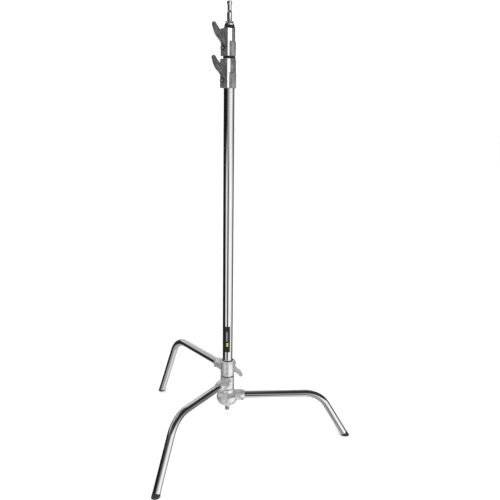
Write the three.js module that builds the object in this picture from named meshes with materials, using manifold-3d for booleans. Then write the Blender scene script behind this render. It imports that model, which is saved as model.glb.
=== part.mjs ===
// A c stand: a sliding-leg base of three bent legs, a chromed column, two telescoping risers
// with lever clamps, and a 16 mm spigot. Millimetres, +Z up, floor at z = 0.
// The origin is the middle of the footprint, so the column stands a little to one side of it.

import * as THREE from "three";
import { mergeVertices } from "three/addons/utils/BufferGeometryUtils.js";
import Module from "manifold-3d";

const wasm = await Module();
wasm.setup();

// ---- Driving dimensions ----

const GAP = 0.3; // clearance between pieces that touch
const SIDES = 24; // facets round every turned piece

const COLUMN_X = -78.8; // the column's axis, from the middle of the footprint
const COLUMN_Y = 12.8;

const COLUMN = { radius: 17.5, wall: 1.5, bottom: 126, top: 1299 };
const RISER_1 = { radius: 15, wall: 1.2, bottom: 196, top: 1389 };
const RISER_2 = { radius: 12.5, wall: 1.2, bottom: 236, top: 1403.5 };

// face: radius of the flat boss that the lever turns on. halfWidth: half the boss's width.
const COLUMN_COLLAR = { radius: 21.6, bottom: 1214, top: 1305, seat: 26, face: 23.2, halfWidth: 18.3 };
const RISER_COLLAR = { radius: 18.4, bottom: 1311, top: 1396, seat: 24, face: 21.5, halfWidth: 17.6 };
const COLLAR_RING = { radius: 20.2, top: 1310.7 }; // the plastic ring between the two collars
const CAP = { rim: 18.3, radius: 15.8, top: 1404.2 }; // the plastic cap on the upper collar

const CLAMP_AZIMUTH = -127; // both collar levers face the same way
const CLAMP_RISE = 24; // height of a clamp screw above its collar's lower end
const BOSS_AZIMUTH = -140;
const PLATE_AZIMUTH = -56;
const SEAT_RADIUS = 12.5; // the round pad that a collar's lever turns against
const FIXING_AZIMUTH = 100;
const BOSS_HALF_WIDTH = 11; // of the base clamp's boss
const STUD_RADIUS = 4;
const SHOE_RADIUS = 5;
const SHOE_LENGTH = 5;
const SHOE_PLAY = 0.9; // room behind a shoe, so that it can back off as its lever is loosened

const LEVER_HUB_RADIUS = 10.5;
const LEVER_THICKNESS = 9;
const LEVER_WEB = 6.4; // half the thickness left between the pockets in a lever's two sides

const FLANGE = { radius: 14.2, disc: 15.3, bottom: 1404.6, neck: 1411, top: 1415.5 };
const SPIGOT_RADIUS = 8;
const SPIGOT_WAIST = 6.3;
const SPIGOT_TOP = 1476;

const LEG_RADIUS = 12.5;
const LEG_WALL = 2;
const LEG_START = 25; // radius at which a leg starts inside its socket
const LEG_RISE = 0.036; // slope of the upper run, rising outwards
const LEG_BEND = 90; // radius of the bend, on the tube's centre line
const LEG_SIDES = 20;
const BEND_STEPS = 8;
const FOOT_RADIUS = 13;
const FOOT_SETBACK = 12; // along the leg, from the floor to the end of the tube
const PLUG_LENGTH = 22;

const HUB_RADIUS = 24.5;
const HUB_BORE = 18;
const SOCKET_RADIUS = 19;
const SOCKET_END = 62;
const SCREW_REACH = 54; // where a leg's fixing screw sits along its socket

// azimuth: the way the leg points. height: where its upper run meets the column's axis.
// corner: radius of the corner that the bend rounds off. foot: radius at the floor.
const LOWER_LEG = { azimuth: -2.2, height: 152, corner: 330, foot: 430, screwSide: -1 };
const MIDDLE_LEG = { azimuth: -120.1, height: 203, corner: 320, foot: 430, screwSide: 1 };
const TOP_LEG = { azimuth: 128.3, height: 256, corner: 317, foot: 442, screwSide: 1 };

const LOWER_HUB = { bottom: 118, top: 179.4 };
const MIDDLE_HUB = { bottom: 181, top: 226 };
const TOP_HUB = { bottom: 230.6, top: 286 };
const BOWL_RADIUS = 38.5;
const BOWL_NOTCHES = 12;
const LINER = { bore: 18.5, radius: 19.9, bottom: 228.3, flange: 24 };
const BASE_CLAMP = { azimuth: 53, height: 263, face: 29 };
const MIDDLE_SCREW = { azimuth: 46, height: 215 }; // azimuth from the leg's own direction
const BASE_BOLT = { bottom: 93, top: 144 };

const LABEL = { bottom: 321, height: 94, radius: 17.8, thickness: 0.3, from: -130, to: -62 };

// ---- Materials ----

const metal = (color, roughness) => new THREE.MeshStandardMaterial({ color, roughness, metalness: 1 });
const plastic = (color, roughness) => new THREE.MeshStandardMaterial({ color, roughness, metalness: 0 });

const CHROME = metal(0xd8dadc, 0.08);
const CASTING = metal(0xb9bbbd, 0.35);
const DARK_CASTING = metal(0x8f9193, 0.4);
const STEEL = metal(0xc4c6c8, 0.25);
const BRASS = metal(0xb08d4a, 0.4);
const BLACK_PLASTIC = plastic(0x151515, 0.5);
const RUBBER = plastic(0x1b1b1b, 0.8);
const LABEL_FILM = plastic(0x101010, 0.35);

// ---- Shapes ----

const radians = THREE.MathUtils.degToRad;

// A closed geometry as a solid that can be joined and cut.
function solid(geometry) {
  const bare = geometry.index ? geometry.toNonIndexed() : geometry.clone();
  bare.deleteAttribute("normal");
  bare.deleteAttribute("uv");
  const merged = mergeVertices(bare, 1e-4);
  const vertProperties = new Float32Array(merged.attributes.position.array);
  const triVerts = new Uint32Array(merged.index.array);
  return new wasm.Manifold(new wasm.Mesh({ numProp: 3, vertProperties, triVerts }));
}

// A named mesh of a solid.
function piece(name, shape, material) {
  const { numProp, vertProperties, triVerts } = shape.getMesh();
  const position = new Float32Array(triVerts.length * 3);
  triVerts.forEach((vertex, corner) => {
    for (let axis = 0; axis < 3; axis += 1) {
      position[corner * 3 + axis] = vertProperties[vertex * numProp + axis];
    }
  });
  const geometry = new THREE.BufferGeometry();
  geometry.setAttribute("position", new THREE.BufferAttribute(position, 3));
  geometry.computeVertexNormals();
  const mesh = new THREE.Mesh(geometry, material);
  mesh.name = name;
  return mesh;
}

// An outline of [radius, z] points turned about the Z axis.
function turned(outline, sides = SIDES) {
  const points = outline.map(([radius, z]) => new THREE.Vector2(radius, z));
  return new THREE.LatheGeometry(points, sides).rotateX(Math.PI / 2);
}

function rod(radius, from, to, sides = SIDES) {
  return turned([[0, from], [radius, from], [radius, to], [0, to]], sides);
}

function ring(bore, radius, from, to) {
  return turned([[bore, from], [radius, from], [radius, to], [bore, to], [bore, from]]);
}

// A geometry made along Z, laid along a radius of the column at a height.
function radial(geometry, azimuth, height) {
  return geometry.rotateY(Math.PI / 2).rotateZ(radians(azimuth)).translate(0, 0, height);
}

// A block on a radius: from one radius to another, over a width and a range of heights.
function lug(azimuth, from, to, halfWidth, bottom, top) {
  const box = new THREE.BoxGeometry(to - from, 2 * halfWidth, top - bottom);
  return box.translate((from + to) / 2, 0, (bottom + top) / 2).rotateZ(radians(azimuth));
}

// A geometry made along Z, laid along a leg's upper run.
function alongLeg(geometry, leg) {
  return geometry.rotateY(Math.PI / 2 - Math.atan(LEG_RISE)).translate(0, 0, leg.height);
}

function tube(name, { radius, wall, bottom, top }, holes = []) {
  const wallSolid = solid(ring(radius - wall, radius, bottom, top));
  const drilled = holes.reduce((body, hole) => body.subtract(solid(hole)), wallSolid);
  return piece(name, drilled, CHROME);
}

// A pan-head screw along Z: its shank, then its head outside the seat.
function screw(tip, seat, shankRadius, headRadius) {
  const crown = seat + headRadius * 0.6;
  return turned([
    [0, tip],
    [shankRadius, tip],
    [shankRadius, seat],
    [headRadius, seat],
    [headRadius, seat + headRadius * 0.3],
    [headRadius * 0.6, crown],
    [0, crown],
  ], 16);
}

function placed(azimuth, meshes) {
  const group = new THREE.Group();
  group.rotation.z = radians(azimuth);
  group.add(...meshes);
  return group;
}

// ---- Clamps: lever, stud, washer, nut and brake shoe ----

// The lever seen edge on: a round hub face against the boss, and a broad arm that leans away.
function leverSide() {
  const shape = new THREE.Shape();
  shape.moveTo(0, -LEVER_HUB_RADIUS);
  shape.lineTo(LEVER_THICKNESS, -LEVER_HUB_RADIUS);
  shape.lineTo(LEVER_THICKNESS, 9);
  shape.quadraticCurveTo(12, 17, 24, 26.5);
  shape.quadraticCurveTo(36, 33.5, 41, 42.5);
  shape.lineTo(56.5, 61);
  shape.quadraticCurveTo(61, 69.5, 55, 72.2);
  shape.quadraticCurveTo(50, 73.2, 46.5, 66);
  shape.lineTo(34, 52.5);
  shape.quadraticCurveTo(22, 46.5, 18, 36);
  shape.lineTo(8, 18);
  shape.quadraticCurveTo(2, 13, 0, 8);
  shape.closePath();
  return sideways(shape, 2 * LEVER_HUB_RADIUS + 4);
}

// A long pocket in each side of the arm, up to the web between them.
function leverPockets() {
  const shape = new THREE.Shape();
  shape.moveTo(15, 24);
  shape.lineTo(31, 35.5);
  shape.lineTo(45, 54);
  shape.lineTo(41, 55);
  shape.lineTo(26, 43);
  shape.closePath();
  const depth = LEVER_HUB_RADIUS;
  return [1, -1].map((side) => sideways(shape, depth).translate(0, side * (LEVER_WEB + depth / 2), 0));
}

// A shape drawn in outward and upward directions, as a solid centred on their plane.
function sideways(shape, depth) {
  const geometry = new THREE.ExtrudeGeometry(shape, { depth, bevelEnabled: false, curveSegments: 4 });
  return geometry.rotateX(Math.PI / 2).translate(0, depth / 2, 0);
}

// The lever seen face on: a round hub, a waist, a broad middle and a narrow round tip.
function leverFace() {
  const shape = new THREE.Shape();
  const waist = radians(50);
  const neckX = Math.cos(waist) * LEVER_HUB_RADIUS;
  const neckY = Math.sin(waist) * LEVER_HUB_RADIUS;
  shape.moveTo(neckX, neckY);
  shape.quadraticCurveTo(7.2, 17, 9.4, 34);
  shape.quadraticCurveTo(11, 46, 5.6, 61);
  shape.quadraticCurveTo(4.8, 73, 0, 74);
  shape.quadraticCurveTo(-4.8, 73, -5.6, 61);
  shape.quadraticCurveTo(-11, 46, -9.4, 34);
  shape.quadraticCurveTo(-7.2, 17, -neckX, neckY);
  shape.absarc(0, 0, LEVER_HUB_RADIUS, Math.PI - waist, waist, false);
  const depth = 75;
  const geometry = new THREE.ExtrudeGeometry(shape, { depth, bevelEnabled: false, curveSegments: 5 });
  const turn = new THREE.Matrix4().makeBasis(
    new THREE.Vector3(0, 1, 0),
    new THREE.Vector3(0, 0, 1),
    new THREE.Vector3(1, 0, 0),
  );
  return geometry.applyMatrix4(turn).translate(-5, 0, 0);
}

// A lever on a boss whose face is at the given radius, in a group turned to the clamp's azimuth.
// The arm points up, or down when flipped.
function clamp(prefix, azimuth, height, face, shoeFrom, flipped) {
  const stemEnd = face + GAP + LEVER_THICKNESS;
  const washerEnd = stemEnd + 1.7;
  const nutFrom = washerEnd + GAP;
  const shoeTo = shoeFrom + SHOE_LENGTH;
  const blank = solid(leverSide()).intersect(solid(leverFace()));
  const cuts = [...leverPockets(), radial(rod(STUD_RADIUS + GAP, -10, 30), 0, 0)];
  const shaped = cuts.reduce((body, cut) => body.subtract(solid(cut)), blank);
  const lever = piece(`${prefix}_lever`, shaped, CASTING);
  lever.position.set(face + GAP, 0, height);
  lever.rotation.x = flipped ? Math.PI : 0;
  const lay = (geometry) => solid(radial(geometry, 0, height));
  const dome = [[0, nutFrom], [4.6, nutFrom], [4.6, nutFrom + 2.5], [3, nutFrom + 4.2], [0, nutFrom + 4.2]];
  const washer = ring(STUD_RADIUS + GAP, 7.2, stemEnd + GAP, washerEnd);
  return placed(azimuth, [
    lever,
    piece(`${prefix}_clamp_stud`, lay(rod(STUD_RADIUS, shoeTo + SHOE_PLAY, washerEnd, 16)), STEEL),
    piece(`${prefix}_lever_washer`, lay(washer), BLACK_PLASTIC),
    piece(`${prefix}_lever_nut`, lay(turned(dome, 16)), STEEL),
    piece(`${prefix}_brake_shoe`, lay(rod(SHOE_RADIUS, shoeFrom, shoeTo, 16)), BRASS),
  ]);
}

// The bore that a clamp's stud and shoe run in.
function clampBore(azimuth, height, shoeFrom) {
  const shoeBore = rod(SHOE_RADIUS + GAP, shoeFrom - 8, shoeFrom + SHOE_LENGTH + SHOE_PLAY, 16);
  const studBore = rod(STUD_RADIUS + GAP, shoeFrom, 60, 16);
  return solid(radial(shoeBore, azimuth, height)).add(solid(radial(studBore, azimuth, height)));
}

// ---- Collars ----

// A cast sleeve on the top of one tube, with a lip that guides the tube inside it.
function collar(prefix, { radius, bottom, top, seat, face, halfWidth }, outer, inner) {
  const bore = outer.radius + GAP;
  const lip = inner.radius + 0.4;
  const clampHeight = bottom + CLAMP_RISE;
  const lipBottom = outer.top + GAP;
  const middle = (bottom + top) / 2;
  const screwHeight = top - 22;
  const sleeve = turned([
    [bore, bottom],
    [radius - 1, bottom],
    [radius, bottom + 1],
    [radius, top - 2],
    [radius - 2, top],
    [lip, top],
    [lip, lipBottom],
    [bore, lipBottom],
    [bore, bottom],
  ]);
  const boss = lug(BOSS_AZIMUTH, 2, face, halfWidth, bottom + 0.5, top - 1);
  const pad = radial(rod(SEAT_RADIUS, 2, seat), CLAMP_AZIMUTH, clampHeight);
  const spotFace = radial(rod(SEAT_RADIUS, seat, seat + 20), CLAMP_AZIMUTH, clampHeight);
  const rib = lug(PLATE_AZIMUTH, bore + 1.2, radius + 2.1, 11.5, bottom + 0.5, middle + 2);
  const screwSeat = radial(rod(5.2, radius - 0.8, 40, 16), FIXING_AZIMUTH, screwHeight);
  const screwHole = radial(rod(2.8, bore - 1, 40, 16), FIXING_AZIMUTH, screwHeight);
  const cast = [boss, pad, rib].reduce((body, part) => body.add(solid(part)), solid(sleeve));
  const bored = cast
    .subtract(solid(spotFace))
    .subtract(clampBore(CLAMP_AZIMUTH, clampHeight, inner.radius + GAP))
    .subtract(solid(rod(bore, bottom - 5, lipBottom)))
    .subtract(solid(rod(lip, lipBottom - 1, top + 5)))
    .subtract(solid(screwSeat))
    .subtract(solid(screwHole));
  const plate = lug(PLATE_AZIMUTH, radius + 2.4, radius + 3.2, 5, bottom + 1.5, middle);
  const fixing = radial(screw(bore + GAP, radius - 0.5, 2.5, 4.8), FIXING_AZIMUTH, screwHeight);
  return [
    piece(`${prefix}_collar`, bored, DARK_CASTING),
    piece(`${prefix}_collar_plate`, solid(plate), CASTING),
    piece(`${prefix}_collar_screw`, solid(fixing), STEEL),
    clamp(prefix, CLAMP_AZIMUTH, clampHeight, seat, inner.radius + GAP, false),
  ];
}

function clampHole({ bottom }, tubeRadius) {
  const hole = rod(SHOE_RADIUS + 0.6, tubeRadius - 6, tubeRadius + 6, 16);
  return radial(hole, CLAMP_AZIMUTH, bottom + CLAMP_RISE);
}

function collarRing() {
  const bore = RISER_1.radius + 0.4;
  const bottom = COLUMN_COLLAR.top + GAP;
  const { radius, top } = COLLAR_RING;
  return turned([
    [bore, bottom],
    [radius - 1, bottom],
    [radius, bottom + 1.2],
    [radius, top - 1.2],
    [radius - 1, top],
    [bore, top],
    [bore, bottom],
  ]);
}

function topCap() {
  const bore = RISER_2.radius + 0.4;
  const bottom = RISER_COLLAR.top + GAP;
  const { rim, radius, top } = CAP;
  return turned([
    [bore, bottom],
    [rim - 0.4, bottom],
    [rim, bottom + 1.2],
    [radius + 0.4, bottom + 4.4],
    [radius, top],
    [bore, top],
    [bore, bottom],
  ]);
}

// A plastic guide plugged into the lower end of a riser.
function guide(riser, outerRadius) {
  const insert = riser.radius - riser.wall - 0.4;
  const bore = insert - 1.9;
  const shoulder = riser.bottom - GAP;
  return turned([
    [bore, riser.bottom - 10],
    [outerRadius, riser.bottom - 10],
    [outerRadius, shoulder],
    [insert, shoulder],
    [insert, riser.bottom + 15],
    [bore, riser.bottom + 15],
    [bore, riser.bottom - 10],
  ]);
}

// ---- Spigot ----

const PIN_HEIGHT = RISER_2.top - 18;
const crossHole = () => radial(rod(2.3, -30, 30, 12), 90, PIN_HEIGHT);

function spigot() {
  const plug = RISER_2.radius - RISER_2.wall - 0.5;
  const turning = turned([
    [0, RISER_2.top - 36],
    [plug, RISER_2.top - 36],
    [plug, FLANGE.bottom],
    [FLANGE.disc - 0.8, FLANGE.bottom],
    [FLANGE.disc, FLANGE.bottom + 0.8],
    [FLANGE.disc, FLANGE.neck - 2.2],
    [FLANGE.disc - 1, FLANGE.neck - 1.2],
    [9.8, FLANGE.neck],
    [FLANGE.radius, FLANGE.top - 1.6],
    [FLANGE.radius, FLANGE.top - 0.7],
    [FLANGE.radius - 1.2, FLANGE.top],
    [SPIGOT_RADIUS, FLANGE.top],
    [SPIGOT_RADIUS, FLANGE.top + 26],
    [SPIGOT_WAIST, FLANGE.top + 32],
    [SPIGOT_WAIST, SPIGOT_TOP - 12],
    [SPIGOT_RADIUS, SPIGOT_TOP - 9.5],
    [SPIGOT_RADIUS, SPIGOT_TOP - 1.5],
    [SPIGOT_RADIUS - 1, SPIGOT_TOP],
    [0, SPIGOT_TOP],
  ]);
  return solid(turning).subtract(solid(crossHole()));
}

// ---- Legs ----

// The centre line of a leg: a straight run, a round bend and a straight run to the floor.
// Its stations are the two ends and the steps of the bend.
class LegLine extends THREE.Curve {
  constructor(leg) {
    super();
    const start = new THREE.Vector3(LEG_START, 0, leg.height + LEG_RISE * LEG_START);
    const corner = new THREE.Vector3(leg.corner, 0, leg.height + LEG_RISE * leg.corner);
    const floor = new THREE.Vector3(leg.foot, 0, 0);
    const inward = start.clone().sub(corner).normalize();
    this.down = floor.clone().sub(corner).normalize();
    const halfTurn = inward.angleTo(this.down) / 2;
    const reach = LEG_BEND / Math.tan(halfTurn);
    const middle = inward.clone().add(this.down).normalize();
    const centre = corner.clone().addScaledVector(middle, LEG_BEND / Math.sin(halfTurn));
    const from = corner.clone().addScaledVector(inward, reach).sub(centre);
    const turn = Math.PI - 2 * halfTurn;
    const axis = new THREE.Vector3(0, 1, 0);
    this.end = floor.clone().addScaledVector(this.down, -FOOT_SETBACK);
    this.stations = [start];
    for (let step = 0; step <= BEND_STEPS; step += 1) {
      this.stations.push(from.clone().applyAxisAngle(axis, (turn * step) / BEND_STEPS).add(centre));
    }
    this.stations.push(this.end);
  }

  getPoint(t, target = new THREE.Vector3()) {
    const place = t * (this.stations.length - 1);
    const index = Math.min(Math.floor(place), this.stations.length - 2);
    return target.lerpVectors(this.stations[index], this.stations[index + 1], place - index);
  }

  getPointAt(t, target) {
    return this.getPoint(t, target);
  }

  // At a station the cross section halves the angle between its two neighbours.
  getTangentAt(t, target = new THREE.Vector3()) {
    const index = Math.round(t * (this.stations.length - 1));
    const last = this.stations.length - 1;
    const before = this.stations[Math.max(index - 1, 0)];
    const here = this.stations[index];
    const after = this.stations[Math.min(index + 1, last)];
    const into = here.clone().sub(before).normalize();
    const out = after.clone().sub(here).normalize();
    return target.copy(into).add(out).normalize();
  }
}

function legTube(line) {
  const shape = new THREE.Shape();
  shape.absarc(0, 0, LEG_RADIUS, 0, 2 * Math.PI);
  const bore = new THREE.Path();
  bore.absarc(0, 0, LEG_RADIUS - LEG_WALL, 0, 2 * Math.PI);
  shape.holes.push(bore);
  const steps = line.stations.length - 1;
  const options = { extrudePath: line, steps, curveSegments: LEG_SIDES / 2, bevelEnabled: false };
  return solid(new THREE.ExtrudeGeometry(shape, options));
}

// A rubber wedge, square to the tube at its top and flat on the floor, with a plug up the tube.
function legFoot(line) {
  const plug = LEG_RADIUS - LEG_WALL - 0.5;
  const body = turned([
    [0, -PLUG_LENGTH],
    [plug, -PLUG_LENGTH],
    [plug, GAP],
    [FOOT_RADIUS - 0.6, GAP],
    [FOOT_RADIUS, 1.2],
    [FOOT_RADIUS, 60],
    [0, 60],
  ]);
  const lean = Math.atan2(line.down.x, -line.down.z);
  body.rotateY(Math.PI - lean).translate(line.end.x, 0, line.end.z);
  const aboveFloor = new THREE.BoxGeometry(200, 200, 200).translate(line.end.x, 0, 100);
  return solid(body).intersect(solid(aboveFloor));
}

// A leg's fixing screw, seated on the lower side of its socket that faces out of the base.
function laidAcross(geometry, leg) {
  const roll = radians(125) * leg.screwSide;
  return geometry.rotateX(-roll).translate(SCREW_REACH, 0, leg.height + LEG_RISE * SCREW_REACH);
}

function leg(prefix, place) {
  const line = new LegLine(place);
  const fixing = screw(LEG_RADIUS + 0.7, 17.9, 2.4, 4.6);
  return [
    piece(`${prefix}_leg_tube`, legTube(line), CHROME),
    piece(`${prefix}_leg_foot`, legFoot(line), RUBBER),
    piece(`${prefix}_leg_screw`, solid(laidAcross(fixing, place)), STEEL),
  ];
}

// ---- Hubs: the castings that carry the legs round the column ----

// Joins a leg's socket to a hub's barrel, then bores the hub for the column and the leg.
function socketed(barrel, place, columnBore, boreBottom) {
  const socket = turned([
    [0, 10],
    [SOCKET_RADIUS, 10],
    [SOCKET_RADIUS, SOCKET_END - 13],
    [SOCKET_RADIUS - 1.5, SOCKET_END - 6],
    [SOCKET_RADIUS - 3.5, SOCKET_END],
    [0, SOCKET_END],
  ]);
  const legBore = rod(LEG_RADIUS + GAP, LEG_START - GAP, SOCKET_END + 20);
  const screwHole = rod(2.7, LEG_RADIUS - 2, 40, 12);
  const screwSeat = rod(5.2, 17.6, 40, 16);
  return barrel
    .add(solid(alongLeg(socket, place)))
    .subtract(solid(alongLeg(legBore, place)))
    .subtract(solid(laidAcross(screwHole, place)))
    .subtract(solid(laidAcross(screwSeat, place)))
    .subtract(solid(rod(columnBore, boreBottom, 400)));
}

function barrelOutline(bottom, top) {
  return turned([
    [0, bottom],
    [HUB_RADIUS - 1.2, bottom],
    [HUB_RADIUS, bottom + 1.2],
    [HUB_RADIUS, top - 1.8],
    [HUB_RADIUS - 1.8, top],
    [0, top],
  ]);
}

// The bottom hub is fixed to the column and ends in a notched bowl that its bolt pulls up.
function lowerHub() {
  const { bottom, top } = LOWER_HUB;
  const bowl = turned([
    [0, bottom],
    [16, bottom],
    [26, bottom + 3],
    [33, bottom + 10],
    [BOWL_RADIUS - 1, bottom + 20],
    [BOWL_RADIUS, bottom + 29],
    [BOWL_RADIUS - 1.5, bottom + 37],
    [HUB_RADIUS + 3, bottom + 45],
    [HUB_RADIUS, bottom + 49],
    [HUB_RADIUS, top - 1.8],
    [HUB_RADIUS - 1.8, top],
    [0, top],
  ]);
  let body = solid(bowl);
  for (let notch = 0; notch < BOWL_NOTCHES; notch += 1) {
    const azimuth = 15 + (notch * 360) / BOWL_NOTCHES;
    body = body.subtract(solid(lug(azimuth, 27, 45, 3.2, bottom - 5, bottom + 20)));
  }
  const bored = socketed(body, LOWER_LEG, HUB_BORE, COLUMN.bottom - GAP);
  return bored.subtract(solid(rod(4.4, bottom - 5, COLUMN.bottom + 5)));
}

// The middle hub turns freely on the column, and has a screw of its own.
function middleHub() {
  const { azimuth, height } = MIDDLE_SCREW;
  const barrel = solid(barrelOutline(MIDDLE_HUB.bottom, MIDDLE_HUB.top));
  const pad = radial(rod(8, 20, HUB_RADIUS + 2.4), azimuth, height);
  const seat = radial(rod(5.6, HUB_RADIUS + 0.6, 40, 16), azimuth, height);
  const hole = radial(rod(3, 10, 40, 16), azimuth, height);
  const hub = socketed(barrel.add(solid(pad)), MIDDLE_LEG, HUB_BORE, 0);
  return hub.subtract(solid(seat)).subtract(solid(hole));
}

function middleHubScrew() {
  const { azimuth, height } = MIDDLE_SCREW;
  return solid(radial(screw(HUB_BORE + 0.4, HUB_RADIUS + 0.9, 2.6, 5.2), azimuth, height));
}

// The top hub slides up the column on its liner and is locked by its own lever.
function topHub() {
  const { bottom, top } = TOP_HUB;
  const turn = BASE_CLAMP.azimuth - TOP_LEG.azimuth;
  const barrel = solid(barrelOutline(bottom, top));
  const boss = lug(turn, 15, BASE_CLAMP.face, BOSS_HALF_WIDTH, bottom + 4, top - 4);
  const rib = lug(142, 15, HUB_RADIUS + 1.4, 4.5, bottom + 8, top - 12);
  const split = lug(82, HUB_RADIUS - 3, 40, 1.5, top - 30, top - 8);
  const cast = barrel.add(solid(boss)).add(solid(rib)).subtract(solid(split));
  const shoeFrom = LINER.radius + GAP;
  const bored = cast.subtract(clampBore(turn, BASE_CLAMP.height, shoeFrom));
  return socketed(bored, TOP_LEG, LINER.radius + GAP, 0);
}

// ---- Column, with the parts fixed to it ----

function labelFilm() {
  const { radius, thickness } = LABEL;
  const from = radians(LABEL.from);
  const to = radians(LABEL.to);
  const shape = new THREE.Shape();
  shape.absarc(0, 0, radius + thickness, from, to, false);
  shape.absarc(0, 0, radius, to, from, true);
  shape.closePath();
  const options = { depth: LABEL.height, bevelEnabled: false, curveSegments: 8 };
  return solid(new THREE.ExtrudeGeometry(shape, options).translate(0, 0, LABEL.bottom));
}

function baseBolt() {
  const { bottom, top } = BASE_BOLT;
  const bolt = [[0, bottom], [3, bottom], [4, bottom + 1], [4, top], [0, top]];
  const nutTop = LOWER_HUB.bottom - 2.6;
  const washer = ring(4.4, 10, LOWER_HUB.bottom - 2.3, LOWER_HUB.bottom - GAP);
  const foot = nutTop - 10;
  const flange = turned([[0, foot], [7, foot], [10, nutTop - 1.5], [10, nutTop], [0, nutTop]]);
  const hexagon = solid(rod(7.6, bottom + 2, nutTop - 3, 6)).add(solid(flange));
  const nut = hexagon.subtract(solid(rod(4.4, 50, 200)));
  return [
    piece("base_bolt", solid(turned(bolt, 16)), STEEL),
    piece("base_bolt_washer", solid(washer), STEEL),
    piece("base_bolt_nut", nut, STEEL),
  ];
}

function fixedBase() {
  const plug = ring(4.4, COLUMN.radius - COLUMN.wall - 0.5, COLUMN.bottom + 1, COLUMN.bottom + 20);
  const lowerWasher = ring(17.9, 23, LOWER_HUB.top + GAP, MIDDLE_HUB.bottom - GAP);
  const retainer = ring(17.9, 22.5, MIDDLE_HUB.top + GAP, LINER.bottom - GAP);
  return [
    tube("column_tube", COLUMN, [clampHole(COLUMN_COLLAR, COLUMN.radius)]),
    piece("column_end_plug", solid(plug), BLACK_PLASTIC),
    piece("column_label", labelFilm(), LABEL_FILM),
    piece("lower_hub_washer", solid(lowerWasher), BLACK_PLASTIC),
    piece("hub_retaining_ring", solid(retainer), STEEL),
    ...baseBolt(),
    placed(LOWER_LEG.azimuth, [piece("lower_hub", lowerHub(), CASTING), ...leg("lower", LOWER_LEG)]),
  ];
}

function middleLeg() {
  return placed(MIDDLE_LEG.azimuth, [
    piece("middle_hub", middleHub(), CASTING),
    piece("middle_hub_screw", middleHubScrew(), STEEL),
    ...leg("middle", MIDDLE_LEG),
  ]);
}

function topLeg() {
  const { bore, radius, bottom, flange } = LINER;
  const liner = turned([
    [bore, bottom],
    [flange, bottom],
    [flange, TOP_HUB.bottom - GAP],
    [radius, TOP_HUB.bottom - GAP],
    [radius, TOP_HUB.top - 0.5],
    [bore, TOP_HUB.top - 0.5],
    [bore, bottom],
  ]);
  const turn = BASE_CLAMP.azimuth - TOP_LEG.azimuth;
  return placed(TOP_LEG.azimuth, [
    piece("slide_liner", solid(liner), BLACK_PLASTIC),
    piece("top_hub", topHub(), CASTING),
    clamp("base", turn, BASE_CLAMP.height, BASE_CLAMP.face, radius + GAP, true),
    ...leg("top", TOP_LEG),
  ]);
}

function risers() {
  return [
    tube("riser_1_tube", RISER_1, [clampHole(RISER_COLLAR, RISER_1.radius)]),
    piece("riser_1_guide", solid(guide(RISER_1, 15.5)), BLACK_PLASTIC),
    piece("riser_top_cap", solid(topCap()), BLACK_PLASTIC),
    tube("riser_2_tube", RISER_2, [crossHole()]),
    piece("riser_2_guide", solid(guide(RISER_2, 13.3)), BLACK_PLASTIC),
    piece("spigot", spigot(), CHROME),
    piece("spigot_cross_pin", solid(radial(rod(2, -12.1, 12.1, 12), 90, PIN_HEIGHT)), STEEL),
  ];
}

const stand = new THREE.Group();
stand.add(
  ...fixedBase(),
  middleLeg(),
  topLeg(),
  ...collar("column", COLUMN_COLLAR, COLUMN, RISER_1),
  piece("column_collar_ring", solid(collarRing()), BLACK_PLASTIC),
  ...collar("riser", RISER_COLLAR, RISER_1, RISER_2),
  ...risers(),
);
stand.position.set(COLUMN_X, COLUMN_Y, 0);

export default stand;
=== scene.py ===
"""Looks of the c stand: chromed tubes, satin castings, lever clamps and rubber feet."""

import math

import bmesh
import bpy
from mathutils import Matrix, Vector

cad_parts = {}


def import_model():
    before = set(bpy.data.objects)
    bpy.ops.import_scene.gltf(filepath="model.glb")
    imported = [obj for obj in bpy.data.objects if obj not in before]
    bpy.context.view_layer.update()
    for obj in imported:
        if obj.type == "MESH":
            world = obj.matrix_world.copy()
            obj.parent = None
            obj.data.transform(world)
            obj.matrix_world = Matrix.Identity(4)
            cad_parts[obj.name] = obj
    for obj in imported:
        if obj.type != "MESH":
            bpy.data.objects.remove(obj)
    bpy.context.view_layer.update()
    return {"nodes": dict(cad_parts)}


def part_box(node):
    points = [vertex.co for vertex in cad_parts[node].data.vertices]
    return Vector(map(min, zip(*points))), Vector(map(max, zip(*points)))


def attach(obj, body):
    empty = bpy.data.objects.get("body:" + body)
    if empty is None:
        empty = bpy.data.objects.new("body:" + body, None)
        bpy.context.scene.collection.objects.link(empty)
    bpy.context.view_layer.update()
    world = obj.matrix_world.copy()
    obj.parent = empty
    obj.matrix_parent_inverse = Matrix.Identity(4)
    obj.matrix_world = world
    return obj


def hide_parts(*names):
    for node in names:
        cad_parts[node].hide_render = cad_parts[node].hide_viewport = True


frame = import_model()

# ---- Driving dimensions: millimetres and degrees, in a frame on the column's axis ----

MM = 0.001
GAP = 0.3  # between pieces that touch
ROUND = 96  # facets round a large turned piece

COLUMN = {"radius": 17.5, "wall": 1.5, "bottom": 126, "top": 1299}
RISER_1 = {"radius": 15, "wall": 1.2, "bottom": 196, "top": 1389}
RISER_2 = {"radius": 12.5, "wall": 1.2, "bottom": 236, "top": 1403.5}
COLUMN_COLLAR = {
    "radius": 21.6, "bottom": 1214, "top": 1305, "seat": 26, "face": 23.2, "half_width": 18.3,
}
RISER_COLLAR = {
    "radius": 18.4, "bottom": 1311, "top": 1396, "seat": 24, "face": 21.5, "half_width": 17.6,
}
COLLAR_RING = {"radius": 20.2, "top": 1310.7}
CAP = {"rim": 18.3, "radius": 15.8, "top": 1404.2}
GUIDE = {"fit": 0.4, "wall": 1.9, "flange": 10, "length": 15}
RING_FIT = 0.4  # round a tube, in the plastic ring and the cap

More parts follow.
